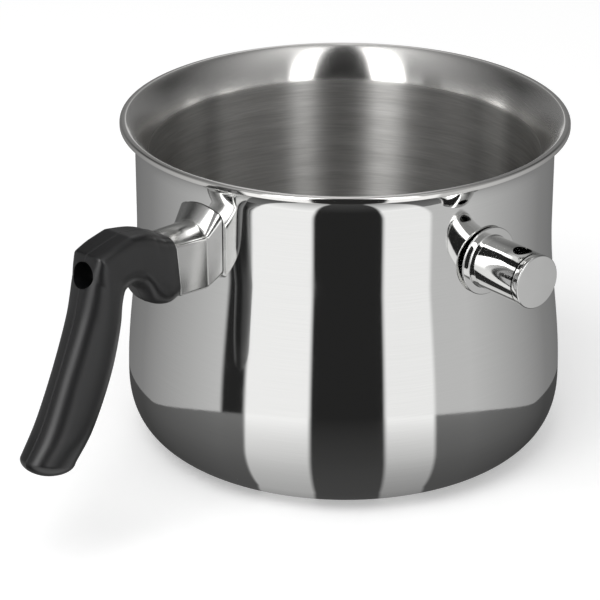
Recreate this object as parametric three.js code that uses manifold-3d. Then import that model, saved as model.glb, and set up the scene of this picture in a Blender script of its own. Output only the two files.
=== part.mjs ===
// Milk boiler: a double-walled simmering pot, its water jacket filled through a neck with a push-on whistle.
// Millimetres, +Z up, origin at the centre of the base, handle along -X, whistle close to -Y.

import * as THREE from 'three';
import { mergeVertices } from 'three/addons/utils/BufferGeometryUtils.js';
import Module from 'manifold-3d';

const wasm = await Module();
wasm.setup();

// Fits
const jointGap = 0.3; // between pieces that touch, are welded or are pressed together
const slideClearance = 0.3; // radial, between the whistle's seal and its neighbours

// Shells
const overallHeight = 120;
const sheet = 0.8;
const waistRadius = 74.7; // the straight wall, outside
const waistHeight = 83;
const bulgeSwell = 4.3; // of the bulge beyond the waist
const bulgeHeight = 23;
const baseCornerWidth = 20; // from the bulge in to the flat base
const cornerExponent = 2.35; // 2 is an ellipse, more is squarer
const outerFlareHeight = 7.6;
const waterGap = 3.1; // between the two walls at the waist
const innerCornerRadius = 14;
const jacketDepth = 11.2; // water space under the inner pot's floor
const innerFlareHeight = 12;
const innerFlareExponent = 1.35; // 2 is an ellipse, less is nearer to a cone
const lipOverhang = 5.3; // of the lip beyond the waist
const lipWidth = 2; // flat top of the hem
const hemDrop = 2.1;
const hemRounding = 0.5;

// Filler neck
const neckDrop = 31.4; // of its axis below the lip's top
const neckAzimuth = -98.7; // degrees from +X
const neckOuterRadius = 6.5;
const neckWall = 1;
const neckReach = 9; // beyond the body's wall
const neckFlangeRadius = 8.5;
const neckFlangeThickness = 0.9;
const neckEdge = 0.5; // chamfer of its outer end

// Whistle, measured along its axis from its mouth
const whistleWallGap = 0.6;
const whistleRadius = 9.3;
const whistleWall = 0.85;
const whistleLength = 24.2;
const beadRadius = 12.1;
const beadWidth = 0.8;
const mouthRadius = 3.25;
const mouthFromFace = 7.5;
const sealStart = 1.2;
const sealLength = 6;
const sealLeadIn = 0.45; // chamfer that finds the neck
const windwayGap = 0.8; // between the neck's end and the windway plug
const windwayLength = 3.2;
const windwaySlotWidth = 5;
const windwaySlotDepth = 1.4;
const capRadius = 9.4;
const capThickness = 2.2;
const capEdge = 0.35;
const grooveWidth = 0.8;
const grooveDepth = 0.65;
const capSpigotLength = 1;

// Ferrule between the body and the grip
const ferruleLength = 19.6;
const ferruleFlareLength = 5.2;
const ferruleHalfWidth = 8.2;
const ferruleBelow = 10.1; // its edges, measured from the screw axis at the grip's end face
const ferruleAbove = 9.2;
const ferruleRise = 6; // degrees, of its edges outwards
const ferruleCorner = 1.4;
const ferruleCrown = 2.2; // rise of the arched top between its edges
const ferruleBelly = 1; // the same below
const ferruleWall = 0.9;
const flareHalfWidth = 9.7;
const flareBelow = 9.1;
const flareAbove = 13.7;
const flareCrown = 1.4;
const flareCorner = 3;
const jointLean = 6.5; // degrees, of the joint between ferrule and grip, its top outwards

// Screw joint of the grip, on an axis that rises outwards
const handleDrop = 27.5; // of the axis, where it meets the grip's end face, below the lip's top
const screwTilt = 12; // degrees
const screwRadius = 2;
const screwHeadRadius = 3.7;
const screwHeadHeight = 2.8;
const screwSlotWidth = 1.1;
const screwSlotDepth = 1.2;
const screwTail = 1; // past the nut
const counterboreRadius = 4.5;
const counterboreStart = 18; // from the grip's end face, along the axis
const washerThickness = 1;
const washerSplit = 0.9;
const nutRadius = 4.04; // across corners
const nutThickness = 3.2;
const bracketSetback = 7.2; // of the bracket's front from the grip's end face
const bracketSheet = 1.5;
const bracketHalfWidth = 6.6;
const bracketHalfHeight = 3.8;

// Grip: stations from its end face to its tip. Each has the back edge and the front edge, as distances
// outwards from the end face and upwards from the screw axis there, the half width, and how square the
// section is towards the back and towards the front: 2 is an oval.
const gripStations = [
  { back: [1.3, 11.9], front: [-1.2, -10.8], halfWidth: 8.6, square: [5, 5] },
  { back: [4.4, 13.3], front: [2.6, -12.2], halfWidth: 8.8, square: [4, 4] },
  { back: [8.6, 15.4], front: [8.2, -10.6], halfWidth: 8.5, square: [4, 3] },
  { back: [19.3, 17.4], front: [12.6, -4], halfWidth: 7.9, square: [6, 2.4] },
  { back: [27.2, 15.9], front: [16.8, -1.6], halfWidth: 7.8, square: [6, 2.2] },
  { back: [34, 14.4], front: [20, -2.6], halfWidth: 7.8, square: [5, 2.15] },
  { back: [36.4, 7.4], front: [21.6, -6], halfWidth: 8, square: [3, 2.15] },
  { back: [40.4, -5.7], front: [22.6, -13.6], halfWidth: 8.1, square: [2.3, 2.15] },
  { back: [48.7, -24.2], front: [27, -28.4], halfWidth: 8.2, square: [2.15, 2.15] },
  { back: [58, -41.9], front: [36.8, -46.2], halfWidth: 8.4, square: [2.15, 2.15] },
  { back: [64.4, -50], front: [44.8, -55.6], halfWidth: 7.8, square: [2.15, 2.15] },
  { back: [65.6, -52.4], front: [52.2, -58], halfWidth: 5.4, square: [2.15, 2.15] },
];
const gripCreases = [3, 5]; // stations where the back edge has a corner

// Finish of each material: colour, roughness, metalness
const finishes = {
  polishedSteel: [0xd6d6d4, 0.08, 1],
  brushedSteel: [0xb9b8b4, 0.34, 1],
  chrome: [0xe0e0de, 0.05, 1],
  plainSteel: [0x9c9c98, 0.4, 1],
  bakelite: [0x1b1b1c, 0.42, 0],
  silicone: [0xa9aaa6, 0.6, 0],
};

// Facets
const shellSegments = 48;
const wallSegments = 4 * shellSegments;
const whistleSegments = 36;
const smallSegments = 20;
const gripRingsPerStation = 3;
const gripPoints = 20;
const bodyFacets = { corner: 9, waist: 9, flare: 7 };
const bodyInsideFacets = { corner: 7, waist: 6, flare: 6 };
const potFacets = { corner: 6, flare: 8 };
const beadFacets = 8;
const bendFacets = 4;
const archFacets = 6;

const degrees = Math.PI / 180;

// A turned body: the profile's points are [radius, height], listed up the outside and back down the inside.
function revolve(profile, segments) {
  const points = profile.map(([radius, height]) => new THREE.Vector2(radius, height));
  const geometry = new THREE.LatheGeometry(points, segments);
  geometry.rotateX(Math.PI / 2);
  return geometry;
}

// A turned body whose axis is +X; the profile's heights run along it.
function revolveAlongX(profile, segments) {
  const geometry = revolve(profile, segments);
  geometry.rotateY(Math.PI / 2);
  return geometry;
}

// A plain rod along +X.
function rod(radius, start, end, segments) {
  return revolveAlongX([[0, start], [radius, start], [radius, end], [0, end]], segments);
}

// A block between two corners.
function block(low, high) {
  const size = high.map((value, index) => value - low[index]);
  const centre = high.map((value, index) => (value + low[index]) / 2);
  const geometry = new THREE.BoxGeometry(...size);
  geometry.translate(...centre);
  return geometry;
}

// A skin over rings of equal point counts. Capped at both ends, or joined last to first.
function loft(rings, joined) {
  const count = rings[0].length;
  const positions = rings.flat(2);
  const index = [];
  const spans = joined ? rings.length : rings.length - 1;
  for (let ring = 0; ring < spans; ring += 1) {
    const next = (ring + 1) % rings.length;
    for (let point = 0; point < count; point += 1) {
      const side = (point + 1) % count;
      const corners = [ring * count + point, ring * count + side, next * count + side, next * count + point];
      index.push(corners[0], corners[1], corners[2], corners[0], corners[2], corners[3]);
    }
  }
  if (!joined) {
    for (const ring of [0, rings.length - 1]) {
      const centre = positions.length / 3;
      const sum = rings[ring].reduce((total, point) => total.map((value, axis) => value + point[axis]));
      positions.push(...sum.map((value) => value / count));
      for (let point = 0; point < count; point += 1) {
        const pair = [ring * count + point, ring * count + ((point + 1) % count)];
        index.push(centre, ...(ring === 0 ? pair.reverse() : pair));
      }
    }
  }
  const geometry = new THREE.BufferGeometry();
  geometry.setAttribute('position', new THREE.Float32BufferAttribute(positions, 3));
  geometry.setIndex(index);
  return geometry;
}

// A three.js geometry as a solid for joining and cutting.
function solid(geometry) {
  const bare = geometry.clone();
  bare.deleteAttribute('normal');
  bare.deleteAttribute('uv');
  const merged = mergeVertices(bare, 1e-4);
  const corners = merged.index.array;
  const triangles = [];
  for (let first = 0; first < corners.length; first += 3) {
    const [a, b, c] = corners.slice(first, first + 3);
    if (a !== b && b !== c && c !== a) {
      triangles.push(a, b, c);
    }
  }
  return new wasm.Manifold(new wasm.Mesh({
    numProp: 3,
    vertProperties: new Float32Array(merged.attributes.position.array),
    triVerts: new Uint32Array(triangles),
  }));
}

// One geometry with others cut away.
function cut(geometry, ...cutters) {
  const left = cutters.reduce((body, cutter) => body.subtract(solid(cutter)), solid(geometry));
  const mesh = left.getMesh();
  const result = new THREE.BufferGeometry();
  result.setAttribute('position', new THREE.BufferAttribute(mesh.vertProperties, 3));
  result.setIndex(new THREE.BufferAttribute(mesh.triVerts, 1));
  return result;
}

// A named piece in its own finish.
function piece(name, geometry, finish) {
  const [color, roughness, metalness] = finishes[finish];
  const mesh = new THREE.Mesh(geometry, new THREE.MeshStandardMaterial({ color, roughness, metalness }));
  mesh.name = name;
  return mesh;
}

// A line moved sideways by a distance, to the left of its direction.
function offsetLine(points, distance) {
  return points.map(([radius, height], index) => {
    const before = points[Math.max(index - 1, 0)];
    const after = points[Math.min(index + 1, points.length - 1)];
    const run = [after[0] - before[0], after[1] - before[1]];
    const length = Math.hypot(...run);
    return [radius - (run[1] / length) * distance, height + (run[0] / length) * distance];
  });
}

// Steps from 0 to 1, both ends included.
function steps(count) {
  return Array.from({ length: count + 1 }, (unused, index) => index / count);
}

// The waist carries the other radii.
const bulgeRadius = waistRadius + bulgeSwell;
const baseFlatRadius = bulgeRadius - baseCornerWidth;
const innerRadius = waistRadius - sheet - waterGap - sheet;
const lipRadius = waistRadius + lipOverhang;

// Both walls end in the hem: the inner pot's edge folds over the outer body's flange.
const hemUnderside = overallHeight - sheet;
const flangeRadius = lipRadius - sheet - jointGap;
const flangeUnderside = hemUnderside - jointGap - sheet;
const wallTop = flangeUnderside - outerFlareHeight;
const floorUnderside = sheet + jacketDepth;
const floorTop = floorUnderside + sheet;

// The neck and the handle hang from the lip.
const neckHeight = overallHeight - neckDrop;
const screwHeight = overallHeight - handleDrop;
const gripFace = waistRadius + ferruleLength;

// Outside line of the outer body: rounded corner, bulge, waist, straight wall and flared flange.
function bodyLine(facets) {
  const corner = steps(facets.corner).map((share) => {
    const angle = share * Math.PI / 2;
    const across = Math.sin(angle) ** (2 / cornerExponent);
    const up = 1 - Math.cos(angle) ** (2 / cornerExponent);
    return [baseFlatRadius + (bulgeRadius - baseFlatRadius) * across, bulgeHeight * up];
  });
  const waist = steps(facets.waist).slice(1).map((share) => {
    const swell = (1 + Math.cos(share * Math.PI)) / 2;
    const height = bulgeHeight + (waistHeight - bulgeHeight) * share;
    return [waistRadius + (bulgeRadius - waistRadius) * swell, height];
  });
  const flare = steps(facets.flare).map((share) => {
    const angle = share * Math.PI / 2;
    const spread = (flangeRadius - waistRadius) * (1 - Math.cos(angle));
    return [waistRadius + spread, wallTop + outerFlareHeight * Math.sin(angle)];
  });
  return [...corner, ...waist, ...flare];
}

// Inside line of the inner pot: rounded corner, straight wall and trumpet flare to the hem's flat top.
function potLine(facets) {
  const power = 2 / innerFlareExponent;
  const flareStart = overallHeight - innerFlareHeight;
  const flareEnd = lipRadius - lipWidth;
  const corner = steps(facets.corner).map((share) => {
    const angle = share * Math.PI / 2;
    return [
      innerRadius - innerCornerRadius * (1 - Math.sin(angle)),
      floorTop + innerCornerRadius * (1 - Math.cos(angle)),
    ];
  });
  const flare = steps(facets.flare).map((share) => {
    const angle = share * Math.PI / 2;
    return [
      flareEnd - (flareEnd - innerRadius) * Math.max(0, Math.cos(angle)) ** power,
      flareStart + innerFlareHeight * Math.sin(angle) ** power,
    ];
  });
  return [...corner, ...flare];
}

function makeShells() {
  const outside = bodyLine(bodyFacets);
  const inside = offsetLine(bodyLine(bodyInsideFacets), sheet).reverse();
  const flangeEdge = [flangeRadius, hemUnderside - jointGap];
  const bodyProfile = [[0, 0], ...outside, flangeEdge, ...inside.slice(1), [0, sheet]];
  const neckHole = rod(neckOuterRadius + jointGap, innerRadius, waistRadius + neckReach, smallSegments);
  neckHole.rotateZ(neckAzimuth * degrees);
  neckHole.translate(0, 0, neckHeight);
  const body = cut(revolve(bodyProfile, shellSegments), neckHole);

  const potUnderside = offsetLine(potLine(potFacets), -sheet);
  const hem = [
    [lipRadius - sheet, hemUnderside],
    [lipRadius - sheet, overallHeight - hemDrop],
    [lipRadius, overallHeight - hemDrop],
    [lipRadius, overallHeight - hemRounding],
    [lipRadius - hemRounding, overallHeight],
  ];
  const potInside = potLine(potFacets).reverse();
  const potProfile = [[0, floorUnderside], ...potUnderside, ...hem, ...potInside, [0, floorTop]];
  return [
    piece('outer_body', body, 'polishedSteel'),
    piece('inner_pot', revolve(potProfile, shellSegments), 'brushedSteel'),
  ];
}

// The neck is pushed out through the wall from inside and brazed at its flange.
function makeNeck() {
  const bore = neckOuterRadius - neckWall;
  const jacketWall = waistRadius - sheet;
  const flangeFront = Math.sqrt(jacketWall ** 2 - neckFlangeRadius ** 2) - jointGap;
  const flangeBack = flangeFront - neckFlangeThickness;
  const end = waistRadius + neckReach;
  const profile = [
    [bore, flangeBack],
    [neckFlangeRadius, flangeBack],
    [neckFlangeRadius, flangeFront],
    [neckOuterRadius, flangeFront],
    [neckOuterRadius, end - neckEdge],
    [neckOuterRadius - neckEdge, end],
    [bore, end],
    [bore, flangeBack],
  ];
  return piece('filler_neck', revolveAlongX(profile, whistleSegments), 'plainSteel');
}

// The whistle: steam leaves the neck, is squeezed through the windway's slot and blows over the mouth hole.
function makeWhistle() {
  const start = waistRadius + whistleWallGap;
  const bore = whistleRadius - whistleWall;
  const face = start + whistleLength;
  const capBack = face - capThickness;
  const tubeEnd = capBack - grooveWidth - jointGap;
  const spigotRadius = bore - jointGap;

  const beadCentre = start + beadWidth / 2;
  const bead = steps(beadFacets).map((share) => {
    const angle = share * Math.PI;
    const rise = (beadRadius - whistleRadius) * Math.sin(angle);
    return [whistleRadius + rise, beadCentre - beadWidth / 2 * Math.cos(angle)];
  });
  const tubeProfile = [[bore, start], ...bead, [whistleRadius, tubeEnd], [bore, tubeEnd], [bore, start]];
  const mouth = rod(mouthRadius, 0, beadRadius, smallSegments);
  mouth.rotateY(-Math.PI / 2);
  mouth.translate(face - mouthFromFace, 0, 0);
  const tube = cut(revolveAlongX(tubeProfile, whistleSegments), mouth);

  const grooveRadius = whistleRadius - grooveDepth;
  const capProfile = [
    [0, tubeEnd - capSpigotLength],
    [spigotRadius, tubeEnd - capSpigotLength],
    [spigotRadius, tubeEnd + jointGap],
    [grooveRadius, tubeEnd + jointGap],
    [grooveRadius, capBack],
    [capRadius - capEdge, capBack],
    [capRadius, capBack + capEdge],
    [capRadius, face - capEdge],
    [capRadius - capEdge, face],
    [0, face],
  ];

  const plugStart = waistRadius + neckReach + windwayGap;
  const plugEnd = plugStart + windwayLength;
  const slot = block(
    [plugStart - jointGap, -windwaySlotWidth / 2, spigotRadius - windwaySlotDepth],
    [plugEnd + jointGap, windwaySlotWidth / 2, whistleRadius],
  );
  const plug = cut(rod(spigotRadius, plugStart, plugEnd, whistleSegments), slot);

  const sealInner = neckOuterRadius + slideClearance;
  const sealOuter = bore - slideClearance;
  const sealBack = start + sealStart;
  const sealFront = sealBack + sealLength;
  const sealProfile = [
    [sealInner + sealLeadIn, sealBack],
    [sealOuter, sealBack],
    [sealOuter, sealFront],
    [sealInner, sealFront],
    [sealInner, sealBack + sealLeadIn],
    [sealInner + sealLeadIn, sealBack],
  ];
  return [
    piece('whistle_tube', tube, 'chrome'),
    piece('whistle_end_cap', revolveAlongX(capProfile, whistleSegments), 'chrome'),
    piece('whistle_windway', plug, 'plainSteel'),
    piece('whistle_seal', revolveAlongX(sealProfile, whistleSegments), 'silicone'),
  ];
}

// A rectangle with round corners and an arched top and bottom in the Y-Z plane, counter-clockwise from +X.
function archedRectangle(halfWidth, low, high, corner, crown, belly) {
  const middle = (low + high) / 2;
  const halfHeight = (high - low) / 2;
  const quarters = [[1, 1], [-1, 1], [-1, -1], [1, -1]];
  const flat = halfWidth - corner;
  return quarters.flatMap(([ySide, zSide], quarter) => {
    const centre = [ySide * flat, middle + zSide * (halfHeight - corner)];
    const bend = steps(bendFacets).map((share) => {
      const angle = (quarter + share) * Math.PI / 2;
      return [centre[0] + corner * Math.cos(angle), centre[1] + corner * Math.sin(angle)];
    });
    if (ySide !== zSide) {
      return bend;
    }
    const arch = steps(archFacets).slice(1, -1).map((share) => {
      const across = 1 - 2 * share;
      const rise = (zSide > 0 ? crown : belly) * (1 - across ** 2);
      return [ySide * flat * across, middle + zSide * (halfHeight + rise)];
    });
    return [...bend, ...arch];
  });
}

// The ferrule: a sheet sleeve with a straight stretch at the grip and a flare that follows the body's wall.
function makeFerrule() {
  const seat = waistRadius + jointGap;
  const end = waistRadius + ferruleLength - jointGap;
  const fold = waistRadius + ferruleFlareLength;
  const rise = Math.tan(ferruleRise * degrees);
  const lean = Math.tan(jointLean * degrees);
  const straightRing = (distance, inset, tilt) => archedRectangle(
    ferruleHalfWidth - inset, inset - ferruleBelow, ferruleAbove - inset,
    ferruleCorner - inset, ferruleCrown, ferruleBelly,
  ).map(([y, up]) => {
    const along = distance + up * tilt;
    return [along, y, screwHeight + up + (along - gripFace) * rise];
  });
  const wallRing = (inset) => archedRectangle(
    flareHalfWidth - inset, screwHeight - flareBelow + inset, screwHeight + flareAbove - inset,
    flareCorner - inset, flareCrown, ferruleBelly,
  ).map(([y, z]) => [Math.sqrt(seat ** 2 - y ** 2), y, z]);
  const rings = [
    wallRing(0),
    straightRing(fold, 0, 0),
    straightRing(end, 0, lean),
    straightRing(end, ferruleWall, lean),
    straightRing(fold, ferruleWall, 0),
    wallRing(ferruleWall),
  ];
  return piece('handle_ferrule', loft(rings, true), 'chrome');
}

// Puts a body that lies along +X onto the screw axis.
function placeOnScrewAxis(geometry) {
  geometry.rotateY(-screwTilt * degrees);
  geometry.translate(gripFace, 0, screwHeight);
  return geometry;
}

// One section of the grip: a squared oval between its back edge and its front edge.
function gripRing(back, front, halfWidth, square) {
  return Array.from({ length: gripPoints }, (unused, point) => {
    const angle = 2 * Math.PI * (point + 0.5) / gripPoints;
    const exponent = 2 / square[Math.sin(angle) > 0 ? 0 : 1];
    const round = (value) => Math.sign(value) * Math.abs(value) ** exponent;
    const towardsBack = round(Math.sin(angle));
    const outwards = (back.x + front.x) / 2 + (back.x - front.x) / 2 * towardsBack;
    const upwards = (back.y + front.y) / 2 + (back.y - front.y) / 2 * towardsBack;
    return [gripFace + outwards, halfWidth * round(Math.cos(angle)), screwHeight + upwards];
  });
}

// A smooth line through the stations, with corners at some of them. Places count stations.
function gripLine(read, corners) {
  const last = gripStations.length - 1;
  const ends = [0, ...corners, last];
  const curves = ends.slice(1).map((end, index) => new THREE.CatmullRomCurve3(
    gripStations.slice(ends[index], end + 1).map((station) => new THREE.Vector3(...read(station))),
  ));
  return (place) => {
    const span = Math.max(0, ends.findIndex((end) => place <= end) - 1);
    return curves[span].getPoint((place - ends[span]) / (ends[span + 1] - ends[span]));
  };
}

function makeGrip() {
  const backLine = gripLine((station) => [...station.back, 0], gripCreases);
  const frontLine = gripLine((station) => [...station.front, 0], []);
  const formLine = gripLine((station) => [station.halfWidth, ...station.square], []);
  const spans = gripStations.length - 1;
  const rings = steps(spans * gripRingsPerStation).map((share) => {
    const place = share * spans;
    const form = formLine(place);
    return gripRing(backLine(place), frontLine(place), form.x, [form.y, form.z]);
  });
  const reach = gripStations.at(-1).back[0];
  const shankHole = placeOnScrewAxis(rod(screwRadius + jointGap, -ferruleLength, reach, smallSegments));
  const counterbore = placeOnScrewAxis(rod(counterboreRadius, counterboreStart, reach, smallSegments));
  return piece('handle_grip', cut(loft(rings, false), shankHole, counterbore), 'bakelite');
}

// The bracket: a bent strap welded to the wall by its two legs; its front stands square to the screw.
function makeBracket() {
  const front = -bracketSetback;
  const back = front - bracketSheet;
  const root = -ferruleLength - bracketSheet;
  const side = bracketHalfWidth;
  const inside = bracketHalfWidth - bracketSheet;
  const outline = [
    [root, -side], [front, -side], [front, side], [root, side],
    [root, inside], [back, inside], [back, -inside], [root, -inside],
  ];
  const shape = new THREE.Shape(outline.map(([along, across]) => new THREE.Vector2(along, across)));
  const strap = new THREE.ExtrudeGeometry(shape, { depth: 2 * bracketHalfHeight, bevelEnabled: false });
  strap.translate(0, 0, -bracketHalfHeight);
  const wallRadius = waistRadius + jointGap;
  const wallProfile = [[0, 0], [wallRadius, 0], [wallRadius, overallHeight], [0, overallHeight]];
  const wall = revolve(wallProfile, wallSegments);
  const hole = placeOnScrewAxis(rod(screwRadius + jointGap, root, 0, smallSegments));
  return piece('handle_bracket', cut(placeOnScrewAxis(strap), wall, hole), 'plainSteel');
}

// Screw, spring washer and the nut welded behind the bracket.
function makeScrewJoint() {
  const washerStart = counterboreStart + jointGap;
  const headStart = washerStart + washerThickness + jointGap;
  const headEnd = headStart + screwHeadHeight;
  const nutFront = -bracketSetback - bracketSheet - jointGap;
  const nutBack = nutFront - nutThickness;
  const screwProfile = [
    [0, nutBack - screwTail],
    [screwRadius, nutBack - screwTail],
    [screwRadius, headStart],
    [screwHeadRadius, headStart],
    [screwHeadRadius, headEnd],
    [0, headEnd],
  ];
  const driverSlot = block(
    [headEnd - screwSlotDepth, -screwSlotWidth / 2, -counterboreRadius],
    [headEnd + jointGap, screwSlotWidth / 2, counterboreRadius],
  );
  const screw = cut(revolveAlongX(screwProfile, smallSegments), driverSlot);

  const hole = screwRadius + jointGap;
  const ringProfile = (radius, start, end) => [
    [hole, start], [radius, start], [radius, end], [hole, end], [hole, start],
  ];
  const washerRing = revolveAlongX(
    ringProfile(screwHeadRadius, washerStart, washerStart + washerThickness), smallSegments,
  );
  const split = block(
    [washerStart - jointGap, -washerSplit / 2, 0],
    [headStart, washerSplit / 2, counterboreRadius],
  );
  const nutSides = 6;
  const nut = revolveAlongX(ringProfile(nutRadius, nutBack, nutFront), nutSides);
  return [
    piece('handle_screw', placeOnScrewAxis(screw), 'plainSteel'),
    piece('spring_washer', placeOnScrewAxis(cut(washerRing, split)), 'plainSteel'),
    piece('bracket_nut', placeOnScrewAxis(nut), 'plainSteel'),
  ];
}

const neckGroup = new THREE.Group();
neckGroup.add(makeNeck(), ...makeWhistle());
neckGroup.position.z = neckHeight;
neckGroup.rotation.z = neckAzimuth * degrees;

const handleGroup = new THREE.Group();
handleGroup.add(makeFerrule(), makeGrip(), makeBracket(), ...makeScrewJoint());
handleGroup.rotation.z = Math.PI;

const milkBoiler = new THREE.Group();
milkBoiler.add(...makeShells(), neckGroup, handleGroup);

export default milkBoiler;
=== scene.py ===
# Milk boiler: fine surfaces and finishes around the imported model.

import logging
import math
from collections.abc import Sequence
from dataclasses import dataclass, field
from enum import Enum

import bmesh
import bpy
import numpy as np
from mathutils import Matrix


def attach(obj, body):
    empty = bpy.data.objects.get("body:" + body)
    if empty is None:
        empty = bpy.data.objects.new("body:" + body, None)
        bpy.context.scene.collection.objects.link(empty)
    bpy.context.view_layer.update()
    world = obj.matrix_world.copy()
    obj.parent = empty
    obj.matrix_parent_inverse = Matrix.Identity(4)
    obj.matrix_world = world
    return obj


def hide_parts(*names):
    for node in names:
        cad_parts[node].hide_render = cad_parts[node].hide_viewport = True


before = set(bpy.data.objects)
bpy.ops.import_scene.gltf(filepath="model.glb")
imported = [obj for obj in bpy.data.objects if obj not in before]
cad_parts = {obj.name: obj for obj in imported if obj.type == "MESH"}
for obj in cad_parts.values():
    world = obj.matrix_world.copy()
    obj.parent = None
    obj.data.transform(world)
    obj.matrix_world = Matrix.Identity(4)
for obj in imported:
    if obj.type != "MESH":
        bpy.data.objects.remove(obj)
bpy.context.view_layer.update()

log = logging.getLogger("milk_boiler")

MM = 0.001
WELD_MM = 0.004
NECK_AZIMUTH = math.radians(-98.7)
NECK_HEIGHT = 88.6
Array = np.ndarray


class Body(Enum):
    """The moving bodies that pieces ride on."""

    POT = "pot"
    SEAL = "seal"
    WHISTLE = "whistle"


class Slot(Enum):
    """The record's material slots."""

    POLISHED = "polished_steel"
    BRUSHED = "brushed_steel"
    CHROME = "chrome"
    PLAIN = "plain_steel"
    BAKELITE = "bakelite"
    SILICONE = "silicone"


# Surfaces

def turn(profile: Array, angle: Array) -> Array:
    """Turns a profile about Z: radius r and height h at angle a give (r cos a, r sin a, h).

    Args:
        profile: rows of radius and height, in mm.
        angle: angles in radians.

    Returns:
        A grid of points, one row per profile row and one column per angle.
    """
    radius = profile[:, 0][:, None]
    height = profile[:, 1][:, None] + 0 * angle
    return np.stack([radius * np.cos(angle), radius * np.sin(angle), height], axis=-1)


def lathe(profile: Array, columns: int) -> Array:
    """Turns a profile through a whole turn; the last column meets the first.

    Args:
        profile: rows of radius and height, in mm.
        columns: number of faces round the turn.

    Returns:
        A grid of points.
    """
    return turn(profile, np.linspace(0, 2 * np.pi, columns + 1))


def bend(centre: Sequence[float], radius: float, start: float, end: float, count: int = 6) -> Array:
    """Points on a circle: centre plus radius times (cos a, sin a), from one angle to another.

    Args:
        centre: radius and height of the circle's centre.
        radius: of the circle.
        start: first angle in degrees.
        end: last angle in degrees.
        count: number of steps.

    Returns:
        Rows of radius and height.
    """
    angle = np.radians(np.linspace(start, end, count + 1))
    return np.asarray(centre) + radius * pairs(np.cos(angle), np.sin(angle))


def offset(profile: Array, distance: float) -> Array:
    """Moves a profile sideways: each row goes the distance along the left normal of its tangent.

    Args:
        profile: rows of radius and height.
        distance: in mm, positive to the left of the direction of travel.

    Returns:
        The moved rows.
    """
    run = np.gradient(profile, axis=0)
    run /= np.linalg.norm(run, axis=1, keepdims=True)
    return profile + distance * pairs(-run[:, 1], run[:, 0])


def rows(*parts: Sequence) -> Array:
    """Stacks points and runs of points into one profile."""
    return np.concatenate([np.atleast_2d(np.asarray(part, float)) for part in parts])


def pairs(first: Array | float, second: Array | float) -> Array:
    """Sets two runs of numbers side by side; a single number is repeated."""
    return np.stack(np.broadcast_arrays(first, second), axis=-1)


def catmull_rom(points: Array, place: Array) -> Array:
    """A centripetal curve through points: cubic spans, end slopes weighed by square-root gaps.

    Args:
        points: rows of coordinates.
        place: positions along the curve, where whole numbers are the points.

    Returns:
        One row per position.
    """
    padded = np.vstack([2 * points[0] - points[1], points, 2 * points[-1] - points[-2]])
    span = np.clip(np.floor(place).astype(int), 0, len(points) - 2)
    share = (place - span)[:, None]
    before, first, second, after = (padded[span + shift] for shift in range(4))
    gap = [np.maximum(np.linalg.norm(b - a, axis=1, keepdims=True), 1e-6) ** 0.5
           for a, b in ((before, first), (first, second), (second, after))]
    out = (first - before) / gap[0] - (second - before) / (gap[0] + gap[1]) + (second - first) / gap[1]
    into = (second - first) / gap[1] - (after - first) / (gap[1] + gap[2]) + (after - second) / gap[2]
    out, into = out * gap[1], into * gap[1]
    square = -3 * first + 3 * second - 2 * out - into
    cube = 2 * first - 2 * second + out + into
    return first + out * share + square * share**2 + cube * share**3


class Skin:
    """Grids of points that are welded into one mesh."""

    def __init__(self, name: str) -> None:
        """Starts an empty skin under the piece's name."""
        self.name = name
        self.points: list[Array] = []
        self.faces: list[Array] = []
        self.count = 0

    def add(self, grid: Array) -> "Skin":
        """Adds one grid of points as quads.

        Args:
            grid: rows by columns by three, in mm.

        Returns:
            The skin itself.
        """
        lines, columns = grid.shape[:2]
        index = np.arange(lines * columns).reshape(lines, columns) + self.count
        corners = [index[:-1, :-1], index[:-1, 1:], index[1:, 1:], index[1:, :-1]]
        self.faces.append(np.stack(corners, axis=-1).reshape(-1, 4))
        self.points.append(grid.reshape(-1, 3))
        self.count += lines * columns
        return self

    def place(self, matrix: Array, shift: Sequence[float] = (0, 0, 0)) -> "Skin":
        """Turns and moves all points: matrix times point, plus shift.

        Args:
            matrix: the turn.
            shift: in mm.

        Returns:
            The skin itself.
        """
        turned, moved = np.asarray(matrix, float).T, np.asarray(shift, float)
        self.points = [points @ turned + moved for points in self.points]
        return self

    def on_neck(self) -> "Skin":
        """Lays a shape that was turned about Z along the neck's axis."""
        return self.place(NECK_TURN, (0, 0, NECK_HEIGHT))

    def build(self, crease: float = 32.0) -> bpy.types.Object:
        """Welds the grids, points the faces outwards and smooths all but the creases.

        Args:
            crease: edges that bend more than this, in degrees, stay sharp.

        Returns:
            The new object, at the origin.
        """
        mesh = bpy.data.meshes.new(self.name)
        points, faces = np.concatenate(self.points) * MM, np.concatenate(self.faces)
        mesh.from_pydata(points.tolist(), [], faces.tolist())
        shape = bmesh.new()
        shape.from_mesh(mesh)
        bmesh.ops.remove_doubles(shape, verts=shape.verts, dist=WELD_MM * MM)
        bmesh.ops.dissolve_degenerate(shape, edges=shape.edges, dist=WELD_MM * MM)
        bmesh.ops.recalc_face_normals(shape, faces=shape.faces)
        open_edges = sum(edge.is_boundary for edge in shape.edges)
        shape.to_mesh(mesh)
        shape.free()
        mesh.shade_smooth()
        mesh.set_sharp_from_angle(angle=math.radians(crease))
        piece = bpy.data.objects.new(self.name, mesh)
        bpy.context.scene.collection.objects.link(piece)
        log.info("%s: %d faces, %d open edges", self.name, len(mesh.polygons), open_edges)
        return piece


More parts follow.
